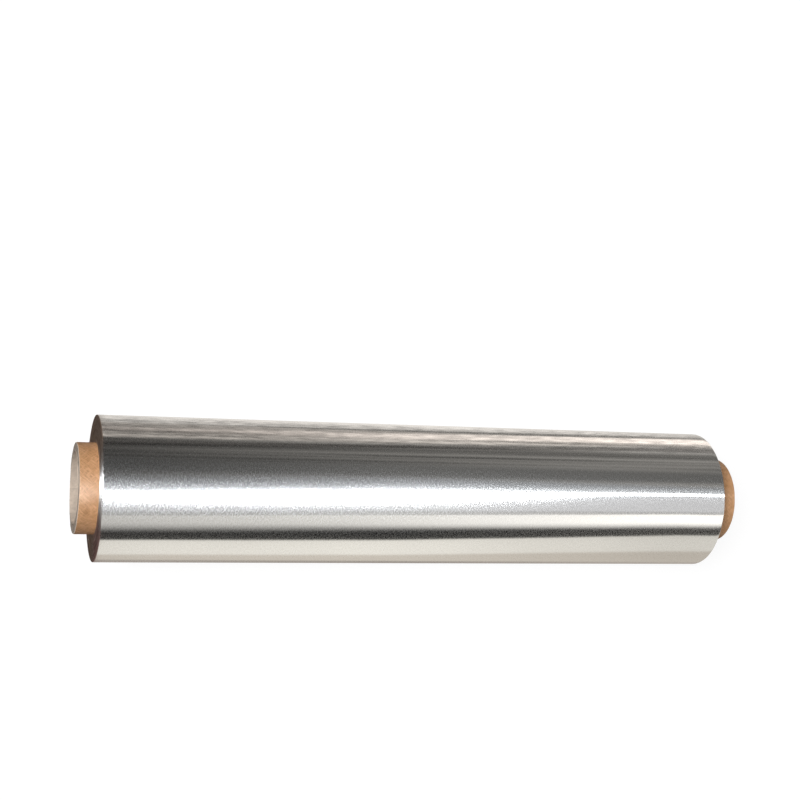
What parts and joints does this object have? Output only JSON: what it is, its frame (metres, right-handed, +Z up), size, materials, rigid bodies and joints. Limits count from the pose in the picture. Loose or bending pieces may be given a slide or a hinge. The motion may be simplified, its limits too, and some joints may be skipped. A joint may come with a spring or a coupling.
{
  "type": "aluminium foil roll",
  "caption": "Roll of kitchen foil wound tight on a paperboard core tube that stands out at both ends, lying on its side.",
  "frame": {"origin": "on the small flat that the roll rests on, under the middle of the core's length", "axes": "+X along the roll's axis, towards the end where the core stands out further; +Y across the roll; +Z up"},
  "size_m": [0.3224, 0.0659, 0.0656],
  "materials": {
    "core_board": "matte brown kraft paperboard, paler where it is cut",
    "foil": "satin rolled foil, with fine lines along the roll"
  },
  "bodies": {
    "root": {"core_tube": "core_board", "foil_winding": "foil"}
  },
  "joints": []
}
